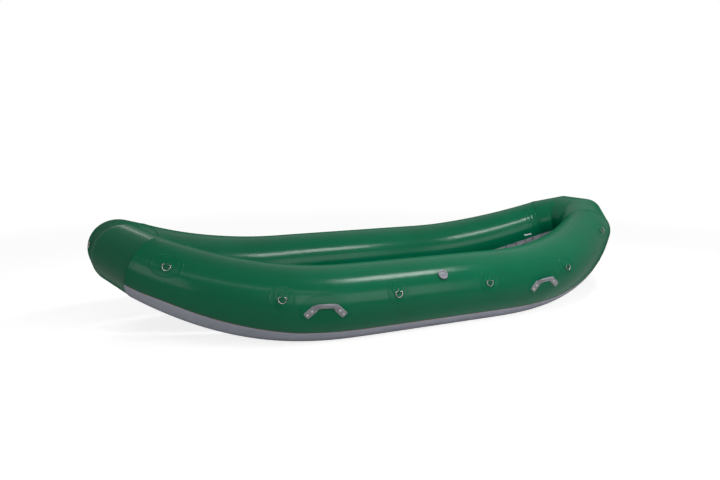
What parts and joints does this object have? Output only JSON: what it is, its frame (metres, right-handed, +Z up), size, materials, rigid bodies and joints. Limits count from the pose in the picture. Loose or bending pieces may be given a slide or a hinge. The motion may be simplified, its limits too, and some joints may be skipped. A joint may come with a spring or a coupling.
{
  "type": "whitewater raft",
  "caption": "Inflatable self-bailing whitewater raft with upswept ends, a laced floor, D-rings, carry handles and valves.",
  "frame": {"origin": "on the ground under the middle of the raft", "axes": "+X towards the bow, +Y towards port, +Z up"},
  "size_m": [4.28, 1.9008, 0.7658],
  "materials": {
    "hull_green": "glossy PVC-coated fabric",
    "chafe_rubber": "matt rubber",
    "lining": "matt coated fabric",
    "floor_grey": "satin PVC-coated fabric",
    "lacing_cord": "braided cord",
    "ring_steel": "polished stainless",
    "handle_grey": "satin moulded rubber",
    "valve_grey": "satin moulded plastic",
    "cap_grey": "satin moulded plastic"
  },
  "bodies": {
    "hull": {"bow_nose_dring_base": "hull_green", "bow_port_baffle": "lining", "bow_port_end_dring_base": "hull_green", "bow_port_handle": "handle_grey", "bow_port_mid_dring_base": "hull_green", "bow_port_quarter_dring_base": "hull_green", "bow_starboard_baffle": "lining", "bow_starboard_end_dring_base": "hull_green", "bow_starboard_handle": "handle_grey", "bow_starboard_mid_dring_base": "hull_green", "bow_starboard_quarter_dring_base": "hull_green", "bow_tube": "hull_green", "bow_valve_body": "valve_grey", "floor_lacing": "lacing_cord", "floor_skin": "floor_grey", "floor_valve_body": "valve_grey", "floor_webs": "lining", "port_chafe_strip": "chafe_rubber", "port_tube": "hull_green", "port_valve_body": "valve_grey", "starboard_chafe_strip": "chafe_rubber", "starboard_tube": "hull_green", "starboard_valve_body": "valve_grey", "stern_nose_dring_base": "hull_green", "stern_port_baffle": "lining", "stern_port_end_dring_base": "hull_green", "stern_port_handle": "handle_grey", "stern_port_mid_dring_base": "hull_green", "stern_port_quarter_dring_base": "hull_green", "stern_starboard_baffle": "lining", "stern_starboard_end_dring_base": "hull_green", "stern_starboard_handle": "handle_grey", "stern_starboard_mid_dring_base": "hull_green", "stern_starboard_quarter_dring_base": "hull_green", "stern_tube": "hull_green", "stern_valve_body": "valve_grey", "tube_lace_strip": "hull_green"},
    "bow_nose_dring_body": {"bow_nose_dring": "ring_steel"},
    "bow_port_end_dring_body": {"bow_port_end_dring": "ring_steel"},
    "bow_port_mid_dring_body": {"bow_port_mid_dring": "ring_steel"},
    "bow_port_quarter_dring_body": {"bow_port_quarter_dring": "ring_steel"},
    "bow_starboard_end_dring_body": {"bow_starboard_end_dring": "ring_steel"},
    "bow_starboard_mid_dring_body": {"bow_starboard_mid_dring": "ring_steel"},
    "bow_starboard_quarter_dring_body": {"bow_starboard_quarter_dring": "ring_steel"},
    "bow_valve_cap_body": {"bow_valve_cap": "cap_grey"},
    "bow_valve_poppet_body": {"bow_valve_poppet": "cap_grey"},
    "floor_valve_cap_body": {"floor_valve_cap": "cap_grey"},
    "port_valve_cap_body": {"port_valve_cap": "cap_grey"},
    "port_valve_poppet_body": {"port_valve_poppet": "cap_grey"},
    "starboard_valve_cap_body": {"starboard_valve_cap": "cap_grey"},
    "starboard_valve_poppet_body": {"starboard_valve_poppet": "cap_grey"},
    "stern_nose_dring_body": {"stern_nose_dring": "ring_steel"},
    "stern_port_end_dring_body": {"stern_port_end_dring": "ring_steel"},
    "stern_port_mid_dring_body": {"stern_port_mid_dring": "ring_steel"},
    "stern_port_quarter_dring_body": {"stern_port_quarter_dring": "ring_steel"},
    "stern_starboard_end_dring_body": {"stern_starboard_end_dring": "ring_steel"},
    "stern_starboard_mid_dring_body": {"stern_starboard_mid_dring": "ring_steel"},
    "stern_starboard_quarter_dring_body": {"stern_starboard_quarter_dring": "ring_steel"},
    "stern_valve_cap_body": {"stern_valve_cap": "cap_grey"},
    "stern_valve_poppet_body": {"stern_valve_poppet": "cap_grey"}
  },
  "joints": [
    {"name": "bow_nose_dring_swing", "type": "hinge", "parent": "hull", "child": "bow_nose_dring_body", "pos_m": [2.12807, 0, 0.64724], "axis": [0, -1, 0], "range_deg": [0, 180]},
    {"name": "bow_port_end_dring_swing", "type": "hinge", "parent": "hull", "child": "bow_port_end_dring_body", "pos_m": [1.74534, 0.55997, 0.56521], "axis": [0.8447, -0.4776, 0.2417], "range_deg": [0, 180]},
    {"name": "bow_port_mid_dring_swing", "type": "hinge", "parent": "hull", "child": "bow_port_mid_dring_body", "pos_m": [0.36037, 0.91606, 0.33056], "axis": [1, 0, 0], "range_deg": [0, 180]},
    {"name": "bow_port_quarter_dring_swing", "type": "hinge", "parent": "hull", "child": "bow_port_quarter_dring_body", "pos_m": [1.12714, 0.84973, 0.36093], "axis": [0.9661, -0.2252, 0.126], "range_deg": [0, 180]},
    {"name": "bow_starboard_end_dring_swing", "type": "hinge", "parent": "hull", "child": "bow_starboard_end_dring_body", "pos_m": [1.74534, -0.55997, 0.56521], "axis": [-0.8447, -0.4776, -0.2417], "range_deg": [0, 180]},
    {"name": "bow_starboard_mid_dring_swing", "type": "hinge", "parent": "hull", "child": "bow_starboard_mid_dring_body", "pos_m": [0.36037, -0.91606, 0.33056], "axis": [-1, 0, 0], "range_deg": [0, 180]},
    {"name": "bow_starboard_quarter_dring_swing", "type": "hinge", "parent": "hull", "child": "bow_starboard_quarter_dring_body", "pos_m": [1.12714, -0.84973, 0.36093], "axis": [-0.9661, -0.2252, -0.126], "range_deg": [0, 180]},
    {"name": "bow_valve_cap_turn", "type": "hinge", "parent": "hull", "child": "bow_valve_cap_body", "pos_m": [1.99728, 0.3067, 0.66441], "axis": [0.57, 0.547, 0.613], "range_deg": [0, 90]},
    {"name": "bow_valve_poppet_press", "type": "slide", "parent": "hull", "child": "bow_valve_poppet_body", "axis": [-0.57, -0.547, -0.613], "range_m": [0, 0.004], "stiffness_N_per_m": 800, "springref_m": -0.004},
    {"name": "floor_valve_cap_turn", "type": "hinge", "parent": "hull", "child": "floor_valve_cap_body", "pos_m": [-1.2375, 0, 0.31269], "axis": [0.2958, 0, 0.9552], "range_deg": [0, 90]},
    {"name": "port_valve_cap_turn", "type": "hinge", "parent": "hull", "child": "port_valve_cap_body", "pos_m": [0, 0.86834, 0.39805], "axis": [0, 0.7818, 0.6235], "range_deg": [0, 90]},
    {"name": "port_valve_poppet_press", "type": "slide", "parent": "hull", "child": "port_valve_poppet_body", "axis": [0, -0.7818, -0.6235], "range_m": [0, 0.004], "stiffness_N_per_m": 800, "springref_m": -0.004},
    {"name": "starboard_valve_cap_turn", "type": "hinge", "parent": "hull", "child": "starboard_valve_cap_body", "pos_m": [0, -0.86834, 0.39805], "axis": [0, -0.7818, 0.6235], "range_deg": [0, 90]},
    {"name": "starboard_valve_poppet_press", "type": "slide", "parent": "hull", "child": "starboard_valve_poppet_body", "axis": [0, 0.7818, -0.6235], "range_m": [0, 0.004], "stiffness_N_per_m": 800, "springref_m": -0.004},
    {"name": "stern_nose_dring_swing", "type": "hinge", "parent": "hull", "child": "stern_nose_dring_body", "pos_m": [-2.12807, 0, 0.64724], "axis": [0, 1, 0], "range_deg": [0, 180]},
    {"name": "stern_port_end_dring_swing", "type": "hinge", "parent": "hull", "child": "stern_port_end_dring_body", "pos_m": [-1.74534, 0.55997, 0.56521], "axis": [0.8447, 0.4776, -0.2417], "range_deg": [0, 180]},
    {"name": "stern_port_mid_dring_swing", "type": "hinge", "parent": "hull", "child": "stern_port_mid_dring_body", "pos_m": [-0.36037, 0.91606, 0.33056], "axis": [1, 0, 0], "range_deg": [0, 180]},
    {"name": "stern_port_quarter_dring_swing", "type": "hinge", "parent": "hull", "child": "stern_port_quarter_dring_body", "pos_m": [-1.12714, 0.84973, 0.36093], "axis": [0.9661, 0.2252, -0.126], "range_deg": [0, 180]},
    {"name": "stern_starboard_end_dring_swing", "type": "hinge", "parent": "hull", "child": "stern_starboard_end_dring_body", "pos_m": [-1.74534, -0.55997, 0.56521], "axis": [-0.8447, 0.4776, 0.2417], "range_deg": [0, 180]},
    {"name": "stern_starboard_mid_dring_swing", "type": "hinge", "parent": "hull", "child": "stern_starboard_mid_dring_body", "pos_m": [-0.36037, -0.91606, 0.33056], "axis": [-1, 0, 0], "range_deg": [0, 180]},
    {"name": "stern_starboard_quarter_dring_swing", "type": "hinge", "parent": "hull", "child": "stern_starboard_quarter_dring_body", "pos_m": [-1.12714, -0.84973, 0.36093], "axis": [-0.9661, 0.2252, 0.126], "range_deg": [0, 180]},
    {"name": "stern_valve_cap_turn", "type": "hinge", "parent": "hull", "child": "stern_valve_cap_body", "pos_m": [-1.99728, 0.3067, 0.66441], "axis": [-0.57, 0.547, 0.613], "range_deg": [0, 90]},
    {"name": "stern_valve_poppet_press", "type": "slide", "parent": "hull", "child": "stern_valve_poppet_body", "axis": [0.57, -0.547, -0.613], "range_m": [0, 0.004], "stiffness_N_per_m": 800, "springref_m": -0.004}
  ]
}
